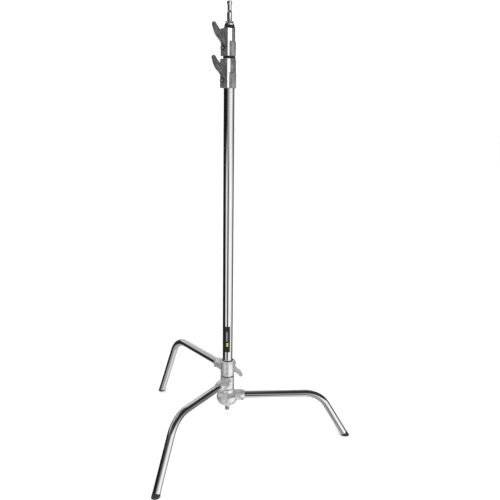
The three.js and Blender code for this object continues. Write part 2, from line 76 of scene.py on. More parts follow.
CLAMP_AZIMUTH = -127
CLAMP_RISE = 24
BOSS_AZIMUTH = -140
SEAT_RADIUS = 12.5
PLATE_AZIMUTH = -56
RIB = {"proud": 2.1, "half_width": 11.5}  # under a collar's plate
PLATE = {"inner": 2.4, "outer": 3.2, "half_width": 5}
FIXING_AZIMUTH = 100
FIXING_DEPTH = 22  # below a collar's top
HEAD_BORE = 5.2
BOSS_HALF_WIDTH = 11
STUD_RADIUS = 4
SHOE_RADIUS = 5
SHOE_LENGTH = 5
SHOE_PLAY = 0.9
SHOE_HOLE = SHOE_RADIUS + 0.6
THREAD_PITCH = 1.25

LEVER_HUB_RADIUS = 10.5
LEVER_THICKNESS = 9
LEVER_WEB = 6.4
LEVER_RECESS = 8.2  # radius of the flat round a lever's nut
WASHER = {"radius": 7.2, "thickness": 1.7}
CAP_NUT = {"radius": 4.6, "height": 4.2, "slot": 1.2}

FLANGE = {"radius": 14.2, "disc": 15.3, "bottom": 1404.6, "neck": 1411, "top": 1415.5}
SPIGOT_RADIUS = 8
SPIGOT_WAIST = 6.3
SPIGOT_TOP = 1476
SPIGOT_PLUG = 36  # depth inside the tube
PIN_HEIGHT = RISER_2["top"] - 18
PIN = {"radius": 2, "half_length": 12.1, "hole": 2.3}

LEG_RADIUS = 12.5
LEG_WALL = 2
LEG_START = 25
LEG_RISE = 0.036
LEG_BEND = 90
FOOT_RADIUS = 13
FOOT_SETBACK = 12
PLUG_LENGTH = 22

HUB_RADIUS = 24.5
HUB_BORE = 18
SOCKET_RADIUS = 19
SOCKET_END = 62
SCREW_REACH = 54
SCREW_TILT = -125

LOWER_LEG = {"azimuth": -2.2, "height": 152, "corner": 330, "foot": 430, "screw_side": -1}
MIDDLE_LEG = {"azimuth": -120.1, "height": 203, "corner": 320, "foot": 430, "screw_side": 1}
TOP_LEG = {"azimuth": 128.3, "height": 256, "corner": 317, "foot": 442, "screw_side": 1}

LOWER_HUB = {"bottom": 118, "top": 179.4}
MIDDLE_HUB = {"bottom": 181, "top": 226}
TOP_HUB = {"bottom": 230.6, "top": 286}
BOWL_RADIUS = 38.5
BOWL_NOTCHES = 12
LINER = {"bore": 18.5, "radius": 19.9, "bottom": 228.3, "flange": 24}
BASE_CLAMP = {"azimuth": 53, "height": 263, "face": 29}
MIDDLE_SCREW = {"azimuth": 46, "height": 215}
BASE_BOLT = {"bottom": 93, "top": 144, "hole": 4.4}
LABEL = {"bottom": 321, "height": 94, "radius": 17.8, "thickness": 0.3, "from": -130, "to": -62}

column_low, column_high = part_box("column_tube")
AXIS = (column_low + column_high) / 2
AT_COLUMN = Matrix.Translation((AXIS.x, AXIS.y, 0))


def turn(degrees, axis="Z"):
    return Matrix.Rotation(math.radians(degrees), 4, axis)


def shift(x, y, z):
    return Matrix.Translation((x * MM, y * MM, z * MM))


def facing(azimuth):
    return AT_COLUMN @ turn(azimuth)


def along_x():
    """Lays a piece made along Z along X."""
    return turn(90, "Y")


# ---- Meshes ----


def mesh_of(vertices, faces, name="shape"):
    mesh = bpy.data.meshes.new(name)
    mesh.from_pydata([(x * MM, y * MM, z * MM) for x, y, z in vertices], [], faces)
    return mesh


def rounded(outline, radius, closed=False):
    """An outline with each corner off the axis turned into a small arc."""
    steps = 3
    nearly_straight = math.radians(172)
    count = len(outline)
    made = []
    for i, (x, y) in enumerate(outline):
        at_end = not closed and i in (0, count - 1)
        if at_end or x == 0:
            made.append((x, y))
            continue
        here = Vector((x, y))
        before = Vector(outline[(i - 1) % count]) - here
        after = Vector(outline[(i + 1) % count]) - here
        opening = before.angle(after)
        if opening > nearly_straight:
            made.append((x, y))
            continue
        reach = min(radius / math.tan(opening / 2), before.length * 0.4, after.length * 0.4)
        start = here + before.normalized() * reach
        end = here + after.normalized() * reach
        for step in range(steps + 1):
            t = step / steps
            point = start * (1 - t) ** 2 + here * (2 * t * (1 - t)) + end * t * t
            made.append((point.x, point.y))
    return made


def revolve(outline, sides=ROUND):
    """A solid turned about Z from (radius, z) points that start and end on the axis, or close up."""
    closed = outline[0][0] > 0
    vertices, rings = [], []
    for radius, z in outline:
        if radius == 0:
            rings.append([len(vertices)] * sides)
            vertices.append((0, 0, z))
            continue
        rings.append(list(range(len(vertices), len(vertices) + sides)))
        for k in range(sides):
            angle = 2 * math.pi * k / sides
            vertices.append((radius * math.cos(angle), radius * math.sin(angle), z))
    pairs = list(zip(rings, rings[1:]))
    if closed:
        pairs.append((rings[-1], rings[0]))
    faces = []
    for low, high in pairs:
        for k in range(sides):
            n = (k + 1) % sides
            corners = [low[k], low[n], high[n], high[k]]
            face = [c for i, c in enumerate(corners) if c != corners[i - 1]]
            if len(face) > 2:
                faces.append(face)
    return mesh_of(vertices, faces)


def rod(radius, low, high, sides=ROUND, edge=0.0):
    outline = [(0, low), (radius, low), (radius, high), (0, high)]
    return revolve(rounded(outline, edge) if edge else outline, sides)


def ring(bore, radius, low, high, edge=0.3):
    outline = [(bore, low), (radius, low), (radius, high), (bore, high)]
    return revolve(rounded(outline, edge, closed=True))


def prism(outline, depth):
    """A closed outline in the XY plane, extruded along Z."""
    count = len(outline)
    vertices = [(x, y, z) for z in (0, depth) for x, y in outline]
    faces = [[(i + 1) % count, i, i + count, (i + 1) % count + count] for i in range(count)]
    faces = [face[::-1] for face in faces]
    return mesh_of(vertices, faces + [list(range(count))[::-1], list(range(count, 2 * count))])


def block(x0, x1, y0, y1, z0, z1):
    made = prism([(x0, y0), (x1, y0), (x1, y1), (x0, y1)], z1 - z0)
    made.transform(shift(0, 0, z0))
    return made


def moved(mesh, matrix):
    mesh.transform(matrix)
    return mesh


def curve(start, control, end, steps):
    """Points of a quadratic arc, without its first."""
    made = []
    for step in range(1, steps + 1):
        t = step / steps
        made.append(tuple(
            a * (1 - t) ** 2 + 2 * b * t * (1 - t) + c * t * t
            for a, b, c in zip(start, control, end)
        ))
    return made


def joined(meshes):
    bm = bmesh.new()
    for mesh in meshes:
        bm.from_mesh(mesh)
        bpy.data.meshes.remove(mesh)
    made = bpy.data.meshes.new("joined")
    bm.to_mesh(made)
    bm.free()
    return made


def temporary(mesh):
    made = bpy.data.objects.new("temporary", mesh)
    bpy.context.scene.collection.objects.link(made)
    return made


def settled(item, helpers=()):
    """The object's mesh with its modifiers applied; the object and its helpers are removed."""
    graph = bpy.context.evaluated_depsgraph_get()
    made = bpy.data.meshes.new_from_object(item.evaluated_get(graph))
    for thing in (item, *helpers):
        bpy.data.objects.remove(thing)
    return made


def boolean(item, mesh, operation="DIFFERENCE"):
    helper = temporary(mesh)
    helper.hide_render = True
    step = item.modifiers.new("cut", "BOOLEAN")
    step.operation = operation
    step.solver = "EXACT"
    step.object = helper
    return helper


def cut(mesh, cutters):
    item = temporary(mesh)
    helpers = [boolean(item, cutter) for cutter in cutters]
    return settled(item, helpers)


def common(mesh, other):
    item = temporary(mesh)
    return settled(item, [boolean(item, other, "INTERSECT")])


def united(mesh, other):
    item = temporary(mesh)
    return settled(item, [boolean(item, other, "UNION")])


def bevelled(mesh, width, angle=30):
    item = temporary(mesh)
    step = item.modifiers.new("bevel", "BEVEL")
    step.width = width * MM
    step.segments = 3
    step.limit_method = "ANGLE"
    step.angle_limit = math.radians(angle)
    return settled(item)


def casting(parts, soft_cuts, machined_cuts, voxel, smoothing, keep):
    """Overlapping solids fused into one skin with soft corners, then machined with sharp cuts."""
    item = temporary(joined(parts))
    helpers = []

    def fuse():
        step = item.modifiers.new("fuse", "REMESH")
        step.mode = "VOXEL"
        step.voxel_size = voxel * MM

    fuse()
    if soft_cuts:
        helpers.append(boolean(item, joined(soft_cuts)))
        fuse()
    smooth = item.modifiers.new("smooth", "SMOOTH")
    smooth.factor = 0.5
    smooth.iterations = smoothing
    fewer = item.modifiers.new("fewer", "DECIMATE")
    fewer.ratio = keep
    helpers += [boolean(item, cutter) for cutter in machined_cuts]
    return settled(item, helpers)


# ---- Pieces ----


def piece(node, body, mesh, material, sharp=35):
    """A finished piece that stands for a CAD node."""
    mesh.name = f"{node}_finish"
    mesh.polygons.foreach_set("use_smooth", [True] * len(mesh.polygons))
    mesh.set_sharp_from_angle(angle=math.radians(sharp))
    mesh.materials.clear()
    mesh.materials.append(material)
    made = bpy.data.objects.new(f"{node}_finish", mesh)
    bpy.context.scene.collection.objects.link(made)
    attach(made, body)
    if node in frame["nodes"]:
        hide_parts(node)
    return made


# ---- Materials ----


class Shader:
    """A material's node tree, with a principled shader and object coordinates."""

    def __init__(self, name, **settings):
        self.material = bpy.data.materials.new(name)
        self.material.use_nodes = True
        self.tree = self.material.node_tree
        self.surface = self.tree.nodes["Principled BSDF"]
        self.coordinates = self.add("ShaderNodeTexCoord").outputs["Object"]
        for socket, value in settings.items():
            self.surface.inputs[socket.replace("_", " ")].default_value = value

    def add(self, kind, **inputs):
        node = self.tree.nodes.new(kind)
        for name, value in inputs.items():
            self.give(node.inputs[name.replace("_", " ")], value)
        return node

    def give(self, socket, value):
        if isinstance(value, bpy.types.NodeSocket):
            self.tree.links.new(value, socket)
        else:
            socket.default_value = value

    def stretched(self, scale):
        return self.add("ShaderNodeMapping", Vector=self.coordinates, Scale=scale).outputs[0]

    def noise(self, scale, detail=3.0, roughness=0.5, vector=None):
        made = self.add("ShaderNodeTexNoise", Scale=scale, Detail=detail, Roughness=roughness)
        self.give(made.inputs["Vector"], vector or self.coordinates)
        return made.outputs["Fac"]

    def between(self, value, low, high, start=0.3, end=0.7):
        made = self.add("ShaderNodeMapRange", Value=value)
        made.inputs["From Min"].default_value = start
        made.inputs["From Max"].default_value = end
        made.inputs["To Min"].default_value = low
        made.inputs["To Max"].default_value = high
        return made.outputs["Result"]

    def shades(self, value, *stops):
        made = self.add("ShaderNodeValToRGB", Fac=value)
        elements = made.color_ramp.elements
        while len(elements) < len(stops):
            elements.new(1.0)
        for element, (position, colour) in zip(elements, stops):
            element.position = position
            element.color = (*colour, 1.0)
        return made.outputs["Color"]

    def sum(self, first, second, weight=1.0):
        scaled = self.add("ShaderNodeMath")
        scaled.operation = "MULTIPLY_ADD"
        self.give(scaled.inputs[0], second)
        self.give(scaled.inputs[1], weight)
        self.give(scaled.inputs[2], first)
        return scaled.outputs[0]

    def bump(self, height, distance, strength=1.0):
        made = self.add("ShaderNodeBump", Height=height, Distance=distance, Strength=strength)
        self.tree.links.new(made.outputs["Normal"], self.surface.inputs["Normal"])

    def colour(self, value):
        self.give(self.surface.inputs["Base Color"], value)

    def roughness(self, value):
        self.give(self.surface.inputs["Roughness"], value)


def grey(value, tint=0.0):
    return (value * (1 - tint), value, value * (1 + tint))


def chrome():
    """Bright plate: faint smears, fine polishing lines along the tube and a slow ripple."""
    shader = Shader("chrome_plate", Metallic=1.0)
    smear = shader.noise(9.0, 4.0, 0.6)
    lines = shader.noise(1400.0, 2.0, 0.5, shader.stretched((1.0, 1.0, 0.02)))
    shader.colour(shader.shades(smear, (0.3, grey(0.84, 0.006)), (0.7, grey(0.9, 0.004))))
    shader.roughness(shader.sum(shader.between(smear, 0.03, 0.07), lines, 0.02))
    shader.bump(shader.noise(28.0, 1.0), 0.00004, 0.5)
    return shader.material


def cast_metal(name, metallic, dark, light, rough):
    """A satin casting: sand grain, small pits, cloudy tone, brighter worn edges and painted shade
    darkening its hollows and creases.
    """
    shader = Shader(name, Metallic=metallic)
    cloud = shader.noise(60.0, 5.0, 0.6)
    grain = shader.noise(1500.0, 3.0, 0.6)
    pits = shader.add("ShaderNodeTexVoronoi", Vector=shader.coordinates, Scale=520.0)
    edge = shader.add("ShaderNodeNewGeometry").outputs["Pointiness"]
    # Pointiness: convex edges get lighter as wear, and hollows and creases get darker as painted shade.
    wear_and_crevice_shade = shader.between(edge, -0.4, 0.22, 0.4, 0.62)
    tone = shader.sum(cloud, wear_and_crevice_shade, 1.0)
    # The darkest colour is painted crevice shade.
    painted_crevice_shade = tuple(0.3 * value for value in dark)
    worn_tone = tuple(min(1.6 * value, 0.9) for value in light)
    shader.colour(shader.shades(tone, (0.1, painted_crevice_shade), (0.34, dark), (0.62, light), (0.9, worn_tone)))
    shader.roughness(shader.between(cloud, rough - 0.06, rough + 0.08))
    height = shader.sum(grain, pits.outputs["Distance"], 0.7)
    shader.bump(height, 0.00012, 0.6)
    return shader.material


def painted_highlight_metal():
    """A milled flat with a painted highlight: a near-white colour for the light it catches, with close
    upright tool marks over a faint cloud.
    """
    shader = Shader("milled_flat_painted_highlight", Metallic=0.2)
    cloud = shader.noise(90.0, 4.0, 0.6)
    marks = shader.noise(900.0, 2.0, 0.5, shader.stretched((1.0, 1.0, 0.03)))
    tone = shader.sum(cloud, marks, 0.5)
    # Near-white colour: a painted highlight on the flat.
    shader.colour(shader.shades(tone, (0.4, grey(0.88)), (0.9, grey(0.97))))
    shader.roughness(shader.between(marks, 0.3, 0.42))
    shader.bump(marks, 0.00004, 0.4)
    return shader.material


def turned_steel():
    """Bright plated screws and nuts: fine turning marks and a few dull spots."""
    shader = Shader("plated_steel", Metallic=1.0)
    spots = shader.noise(220.0, 4.0, 0.6)
    marks = shader.noise(2600.0, 2.0)
    shader.colour(shader.shades(spots, (0.3, grey(0.55)), (0.7, grey(0.78))))
    shader.roughness(shader.between(spots, 0.16, 0.34))
    shader.bump(marks, 0.00005, 0.5)
    return shader.material


def brass():
    shader = Shader("brass_pad", Metallic=1.0)
    stain = shader.noise(180.0, 4.0, 0.6)
    shader.colour(shader.shades(stain, (0.3, (0.42, 0.3, 0.12)), (0.7, (0.72, 0.55, 0.26))))
    shader.roughness(shader.between(stain, 0.25, 0.45))
    shader.bump(shader.noise(1800.0), 0.00005, 0.5)
    return shader.material


def nylon():
    """Moulded black plastic with a fine spark texture and handling marks."""
    shader = Shader("moulded_nylon")
    rub = shader.noise(90.0, 4.0, 0.6)
    shader.colour(shader.shades(rub, (0.35, grey(0.008)), (0.7, grey(0.02))))
    shader.roughness(shader.between(rub, 0.32, 0.5))
    shader.bump(shader.noise(2400.0, 2.0), 0.00006, 0.6)
    return shader.material


def rubber():
    """Black rubber with a grainy skin, dustier towards the floor."""
    shader = Shader("foot_rubber")
    dust = shader.noise(140.0, 5.0, 0.65)
    height = shader.add("ShaderNodeSeparateXYZ", Vector=shader.coordinates).outputs["Z"]
    low = shader.between(height, 0.12, 0.0, 0.0, 0.012)
    shader.colour(shader.shades(shader.sum(dust, low), (0.35, grey(0.010)), (0.85, grey(0.05))))
    shader.roughness(shader.between(dust, 0.6, 0.85))
    shader.bump(shader.noise(1100.0, 4.0, 0.6), 0.0002, 0.7)
    return shader.material


def film(name, dark, light, rough):
    """Printed film: an even ink with a trace of mottling."""
    shader = Shader(name)
    mottle = shader.noise(240.0, 4.0, 0.6)
    shader.colour(shader.shades(mottle, (0.3, dark), (0.7, light)))
    shader.roughness(shader.between(mottle, rough - 0.05, rough + 0.08))
    shader.bump(shader.noise(900.0, 2.0), 0.00003, 0.4)
    return shader.material


CHROME = chrome()
CASTING = cast_metal("satin_casting", 0.72, grey(0.74), grey(0.86), 0.27)
LEVER_CASTING = cast_metal("lever_casting", 0.55, grey(0.11), grey(0.24), 0.26)
GREY_CASTING = cast_metal("grey_casting", 0.35, grey(0.13), grey(0.25), 0.3)
PLATE_METAL = cast_metal("plate_metal", 0.4, grey(0.17), grey(0.25), 0.3)
PAINTED_HIGHLIGHT_FLAT = painted_highlight_metal()
STEEL = turned_steel()
BRASS = brass()
NYLON = nylon()
RUBBER = rubber()
LABEL_BLACK = film("label_black", grey(0.006), grey(0.012), 0.3)
LABEL_GREY = film("label_grey", grey(0.22), grey(0.3), 0.35)
LABEL_YELLOW = film("label_yellow", (0.75, 0.55, 0.05), (0.85, 0.65, 0.08), 0.35)

# ---- Tubes ----

HOLE_MARGIN = 12  # from a hole's middle to the next ring of vertices


def tube(node, body, size, hole):
    """A chromed tube with one hole through its wall, given as (azimuth, height, radius)."""
    radius, low, high = size["radius"], size["bottom"], size["top"]
    inner = radius - size["wall"]
    azimuth, height, hole_radius = hole
    stations = [low, height - HOLE_MARGIN, height + HOLE_MARGIN, high]
    outline = [(radius, z) for z in stations] + [(inner, z) for z in reversed(stations)]
    mesh = revolve(rounded(outline, 0.35, closed=True))
    drill = moved(rod(hole_radius, inner - 4, radius + 4, 48), along_x())
    mesh = cut(mesh, [moved(drill, turn(azimuth) @ shift(0, 0, height))])
    piece(node, body, moved(mesh, AT_COLUMN), CHROME)


def sleeve(node, body, outline, edge=0.5):
    """A turned plastic piece round the column's axis."""
    mesh = revolve(rounded(outline, edge, closed=True))
    piece(node, body, moved(mesh, AT_COLUMN), NYLON)


def guide(node, body, riser, outer):
    """The bushing in a riser's lower end, which fits the tube outside it."""
    insert = riser["radius"] - riser["wall"] - GUIDE["fit"]
    bore = insert - GUIDE["wall"]
    low = riser["bottom"]
    bottom, top = low - GUIDE["flange"], low + GUIDE["length"]
    outline = [
        (bore, bottom), (outer, bottom), (outer, low - GAP),
        (insert, low - GAP), (insert, top), (bore, top),
    ]
    sleeve(node, body, outline)


def spigot():
    """The spigot turned in one with its flange and plug, and the pin across the plug."""
    plug = RISER_2["radius"] - RISER_2["wall"] - 0.5
    plug_end = RISER_2["top"] - SPIGOT_PLUG
    disc, neck, rim = FLANGE["disc"], FLANGE["neck"], FLANGE["radius"]
    low, high = FLANGE["bottom"], FLANGE["top"]
    outline = [
        (0, plug_end), (plug, plug_end), (plug, low),
        (disc, low), (disc, neck - 2), (9.8, neck),
        (rim, high - 1.6), (rim, high - 0.4), (rim - 1, high),
        (SPIGOT_RADIUS, high), (SPIGOT_RADIUS, high + 26), (SPIGOT_WAIST, high + 32),
        (SPIGOT_WAIST, SPIGOT_TOP - 12), (SPIGOT_RADIUS, SPIGOT_TOP - 9.5),
        (SPIGOT_RADIUS, SPIGOT_TOP - 1.5), (SPIGOT_RADIUS - 1, SPIGOT_TOP), (0, SPIGOT_TOP),
    ]
    mesh = revolve(rounded(outline, 0.5), 72)
    hole = moved(moved(rod(PIN["hole"], -30, 30, 32), along_x()), turn(90))
    mesh = cut(mesh, [moved(hole, shift(0, 0, PIN_HEIGHT))])
    piece("spigot", "riser_2", moved(mesh, AT_COLUMN), CHROME)
    pin = rod(PIN["radius"], -PIN["half_length"], PIN["half_length"], 32, 0.4)
    pin = moved(pin, turn(90) @ along_x())
    pin = moved(pin, AT_COLUMN @ shift(0, 0, PIN_HEIGHT))
    piece("spigot_cross_pin", "riser_2", pin, STEEL)


# ---- Screws ----


def screw_mesh(tip, seat, shank, head):
    """A button-head screw with a hexagon socket."""
    crown = seat + head * 0.6
    outline = [
        (0, tip), (shank, tip), (shank, seat), (head, seat),
        (head, seat + head * 0.3), (head * 0.6, crown), (0, crown),
    ]
    key_radius, key_depth = head * 0.42, head * 0.4
    key = rod(key_radius, crown - key_depth, crown + 2, 6)
    return cut(revolve(rounded(outline, head * 0.12), 48), [key])


def threaded(radius, low, high):
    """A rod with a helical thread and chamfered ends."""
    sides = 32
    rows_per_turn = 6
    pitch = THREAD_PITCH
    depth = pitch * 0.5
    rows = int((high - low) / pitch * rows_per_turn)
    vertices = [(0, 0, low)]
    for row in range(rows + 1):
        z = low + (high - low) * row / rows
        taper = min(z - low, high - z, depth) - depth
        for k in range(sides):
            turns = (z / pitch - k / sides) % 1
            r = radius - depth * abs(2 * turns - 1) * 0.9 + min(taper, 0)
            angle = 2 * math.pi * k / sides
            vertices.append((r * math.cos(angle), r * math.sin(angle), z))
    vertices.append((0, 0, high))
    last = len(vertices) - 1
    faces = []
    for k in range(sides):
        n = (k + 1) % sides
        faces.append([0, 1 + n, 1 + k])
        for row in range(rows):
            a, b = 1 + row * sides, 1 + (row + 1) * sides
            faces.append([a + k, a + n, b + n, b + k])
        top = 1 + rows * sides
        faces.append([top + k, top + n, last])
    return mesh_of(vertices, faces)


# ---- Clamps ----


def flat_path(start, *strokes, steps=10):
    """Points of an outline: a stroke of one point is a line, one of two is a curve."""
    made = [start]
    for stroke in strokes:
        if len(stroke) == 1:
            made.append(stroke[0])
        else:
            made += curve(made[-1], *stroke, steps)
    return made


def sideways(outline, depth):
    """An outline in outward and upward directions, as a solid centred on their plane."""
    return moved(prism(outline, depth), shift(0, depth / 2, 0) @ turn(90, "X"))


def lever_blank():
    """The lever where its edge-on and face-on outlines meet."""
    side = flat_path(
        (0, -LEVER_HUB_RADIUS),
        [(LEVER_THICKNESS, -LEVER_HUB_RADIUS)],
        [(LEVER_THICKNESS, 9)],
        [(12, 17), (24, 26.5)],
        [(36, 33.5), (41, 42.5)],
        [(56.5, 61)],
        [(61, 69.5), (55, 72.2)],
        [(50, 73.2), (46.5, 66)],
        [(34, 52.5)],
        [(22, 46.5), (18, 36)],
        [(8, 18)],
        [(2, 13), (0, 8)],
    )
    waist = math.radians(50)  # where the blade leaves the round hub
    neck = (math.cos(waist) * LEVER_HUB_RADIUS, math.sin(waist) * LEVER_HUB_RADIUS)
    face = flat_path(neck, [(7.2, 17), (9.4, 34)], [(11, 46), (5.6, 61)], [(4.8, 73), (0, 74)])
    face += [(-x, y) for x, y in reversed(face[:-1])]
    arc, steps = math.pi + 2 * waist, 40
    for step in range(1, steps):
        angle = math.pi - waist + arc * step / steps
        face.append((math.cos(angle) * LEVER_HUB_RADIUS, math.sin(angle) * LEVER_HUB_RADIUS))
    to_face = Matrix(((0, 0, 1, 0), (1, 0, 0, 0), (0, 1, 0, 0), (0, 0, 0, 1)))
    face_on = moved(prism(face, 75), shift(-5, 0, 0) @ to_face)
    return common(sideways(side, 2 * LEVER_HUB_RADIUS + 4), face_on)


def lever_mesh():
    """The cast lever with a pocket in each side of its blade."""
    depth = LEVER_HUB_RADIUS
    pocket = [(15, 24), (31, 35.5), (45, 54), (41, 55), (26, 43)]
    pockets = [
        moved(sideways(pocket, depth), shift(0, side * (LEVER_WEB + depth / 2), 0))
        for side in (1, -1)
    ]
    seat = moved(rod(LEVER_RECESS, LEVER_THICKNESS - 0.4, 20, 64), along_x())
    bore = moved(rod(STUD_RADIUS + GAP, -10, 30, 48), along_x())
    return casting([lever_blank()], pockets, [seat, bore], 0.5, 6, 0.5)


def clamp(prefix, parent_frame, height, face, shoe_from, metal, flipped=False):
    """A lever, its stud, washer and nut, and the shoe that its screw presses inwards."""
    lever_body = f"{prefix}_lever"
    stem_end = face + GAP + LEVER_THICKNESS
    washer_end = stem_end + WASHER["thickness"]
    shoe_to = shoe_from + SHOE_LENGTH
    centre = parent_frame @ shift(0, 0, height)
    lever_place = centre @ shift(face + GAP, 0, 0) @ turn(180 if flipped else 0, "X")
    piece(lever_body, lever_body, moved(lever_mesh(), lever_place), metal, 50)
    outward = centre @ along_x()
    stud = moved(threaded(STUD_RADIUS, shoe_to + SHOE_PLAY, washer_end), outward)
    piece(f"{prefix}_clamp_stud", lever_body, stud, STEEL)
    washer = moved(ring(STUD_RADIUS + GAP, WASHER["radius"], stem_end + GAP, washer_end), outward)
    piece(f"{prefix}_lever_washer", lever_body, washer, NYLON)
    nut = washer_end + GAP
    width, top, half_slot = CAP_NUT["radius"], nut + CAP_NUT["height"], CAP_NUT["slot"] / 2
    dome = [(0, nut), (width, nut), (width, nut + 2.5), (3, top), (0, top)]
    slot = block(-6, 6, -half_slot, half_slot, top - 1, nut + 6)
    cap = moved(cut(revolve(rounded(dome, 0.6), 48), [slot]), outward)
    piece(f"{prefix}_lever_nut", lever_body, cap, STEEL)
    shoe = moved(rod(SHOE_RADIUS, shoe_from, shoe_to, 48, 0.4), outward)
    piece(f"{prefix}_brake_shoe", f"{prefix}_shoe", shoe, BRASS)


def clamp_cuts(matrix, height, shoe_from):
    """The stepped hole for a clamp's shoe and stud."""
    shoe = rod(SHOE_RADIUS + GAP, shoe_from - 8, shoe_from + SHOE_LENGTH + SHOE_PLAY, 48)
    stud = rod(STUD_RADIUS + GAP, shoe_from, 60, 48)
    place = matrix @ shift(0, 0, height) @ along_x()
    return [moved(shoe, place), moved(stud, place)]


# ---- Collars ----

FACET_COSINE = 0.985  # how squarely a face of the flat with the painted highlight faces its way
FACET_RANGE = (-0.5, 0.2)  # and how far it may lie from the flat


def paint_highlight_on_flat(mesh, azimuth, distance):
    """Gives the painted highlight to the flat that faces one way at a distance from the axis: a
    near-white colour for the light it catches.
    """
    mesh.materials.append(PAINTED_HIGHLIGHT_FLAT)
    angle = math.radians(azimuth)
    way = Vector((math.cos(angle), math.sin(angle), 0))
    for polygon in mesh.polygons:
        off = (polygon.center - AXIS).dot(way) / MM - distance
        if polygon.normal.dot(way) > FACET_COSINE and FACET_RANGE[0] < off < FACET_RANGE[1]:
            polygon.material_index = 1


def collar(prefix, body, size, outer, inner):
    """A cast sleeve with a clamp boss, a side rib and its plate, and a fixing screw."""
    radius, bottom, top = size["radius"], size["bottom"], size["top"]
    bore = outer["radius"] + GAP
    lip = inner["radius"] + 0.4
    lip_bottom = outer["top"] + GAP
    clamp_height = bottom + CLAMP_RISE
    middle = (bottom + top) / 2
    screw_height = top - FIXING_DEPTH
    rib_face, rib_half = radius + RIB["proud"], RIB["half_width"]
    seat, face, half = size["seat"], size["face"], size["half_width"]
    sleeve_outline = [
        (0, bottom), (radius - 0.6, bottom), (radius, bottom + 0.8),
        (radius, top - 2), (radius - 2, top), (0, top),
    ]
    outward = turn(CLAMP_AZIMUTH) @ shift(0, 0, clamp_height) @ along_x()
    parts = [
        revolve(sleeve_outline),
        moved(block(2, face, -half, half, bottom + 0.5, top - 1), turn(BOSS_AZIMUTH)),
        moved(rod(SEAT_RADIUS, 2, seat, 64), outward),
        moved(block(bore, rib_face, -rib_half, rib_half, bottom + 0.5, middle + 2), turn(PLATE_AZIMUTH)),
    ]
    across = turn(FIXING_AZIMUTH) @ shift(0, 0, screw_height) @ along_x()
    machined = [
        moved(rod(SEAT_RADIUS, seat, seat + 20, 64), outward),
        rod(bore, bottom - 5, lip_bottom),
        rod(lip, lip_bottom - 1, top + 5),
        moved(rod(HEAD_BORE, radius - 0.8, 40, 48), across),
        moved(rod(2.8, bore - 1, 40, 32), across),
        *clamp_cuts(turn(CLAMP_AZIMUTH), clamp_height, inner["radius"] + GAP),
    ]
    mesh = casting(parts, [], machined, 0.8, 4, 0.4)
    made = piece(f"{prefix}_collar", body, moved(mesh, AT_COLUMN), GREY_CASTING, 50)
    # The boss's side flat gets a painted highlight.
    paint_highlight_on_flat(made.data, BOSS_AZIMUTH + 90, half)
    half = PLATE["half_width"]
    plate_from, plate_to = radius + PLATE["inner"], radius + PLATE["outer"]
    plate = block(plate_from, plate_to, -half, half, bottom + 1.5, middle)
    plate = moved(bevelled(plate, 0.5), facing(PLATE_AZIMUTH))
    piece(f"{prefix}_collar_plate", body, plate, PLATE_METAL)
    fixing = screw_mesh(tip=bore + GAP, seat=radius - 0.5, shank=2.5, head=4.8)
    fixing = moved(fixing, AT_COLUMN @ across)
    piece(f"{prefix}_collar_screw", body, fixing, STEEL)
    clamp(prefix, facing(CLAMP_AZIMUTH), clamp_height, seat, inner["radius"] + GAP, LEVER_CASTING)


def plastic_ring():
    """The ring between the two collars."""
    bore = RISER_1["radius"] + RING_FIT
    radius = COLLAR_RING["radius"]
    low, high = COLUMN_COLLAR["top"] + GAP, COLLAR_RING["top"]
    outline = [
        (bore, low), (radius - 1, low), (radius, low + 1.2),
        (radius, high - 1.2), (radius - 1, high), (bore, high),
    ]
    sleeve("column_collar_ring", "column", outline)


def top_cap():
    """The cap on the upper collar, stepped in above its rim."""
    bore = RISER_2["radius"] + RING_FIT
    low = RISER_COLLAR["top"] + GAP
    rim, radius, top = CAP["rim"], CAP["radius"], CAP["top"]
    outline = [
        (bore, low), (rim, low), (rim, low + 1.2),
        (radius, low + 4.6), (radius, top), (bore, top),
    ]
    sleeve("riser_top_cap", "riser_1", outline)


# ---- Legs ----

UPPER_STEPS, BEND_STEPS, LOWER_STEPS = 11, 28, 8  # cross sections along a leg's three runs


class LegLine:
    """The centre line of a leg in its own upright plane: straight, round bend, straight."""

    def __init__(self, leg):
        start = Vector((LEG_START, leg["height"] + LEG_RISE * LEG_START))
        corner = Vector((leg["corner"], leg["height"] + LEG_RISE * leg["corner"]))
        floor = Vector((leg["foot"], 0))
        self.inward = (start - corner).normalized()
        self.down = (floor - corner).normalized()
        half = self.inward.angle(self.down) / 2
        middle = (self.inward + self.down).normalized()
        self.centre = corner + middle * (LEG_BEND / math.sin(half))
        self.bend_start = corner + self.inward * (LEG_BEND / math.tan(half))
        self.turn = math.pi - 2 * half
        self.start = start
        self.end = floor - self.down * FOOT_SETBACK

    def stations(self):
        """Points and the radial directions of the cross sections along the line."""
        spoke = self.bend_start - self.centre
        made = []
        first = spoke.normalized()
        for step in range(UPPER_STEPS):
            made.append((self.start.lerp(self.bend_start, step / UPPER_STEPS), first))
        for step in range(BEND_STEPS + 1):
            angle = -self.turn * step / BEND_STEPS
            turned = Matrix.Rotation(angle, 2) @ spoke
            bend_end = self.centre + turned
            made.append((bend_end, turned.normalized()))
        for step in range(1, LOWER_STEPS + 1):
            made.append((bend_end.lerp(self.end, step / LOWER_STEPS), made[-1][1]))
        return made


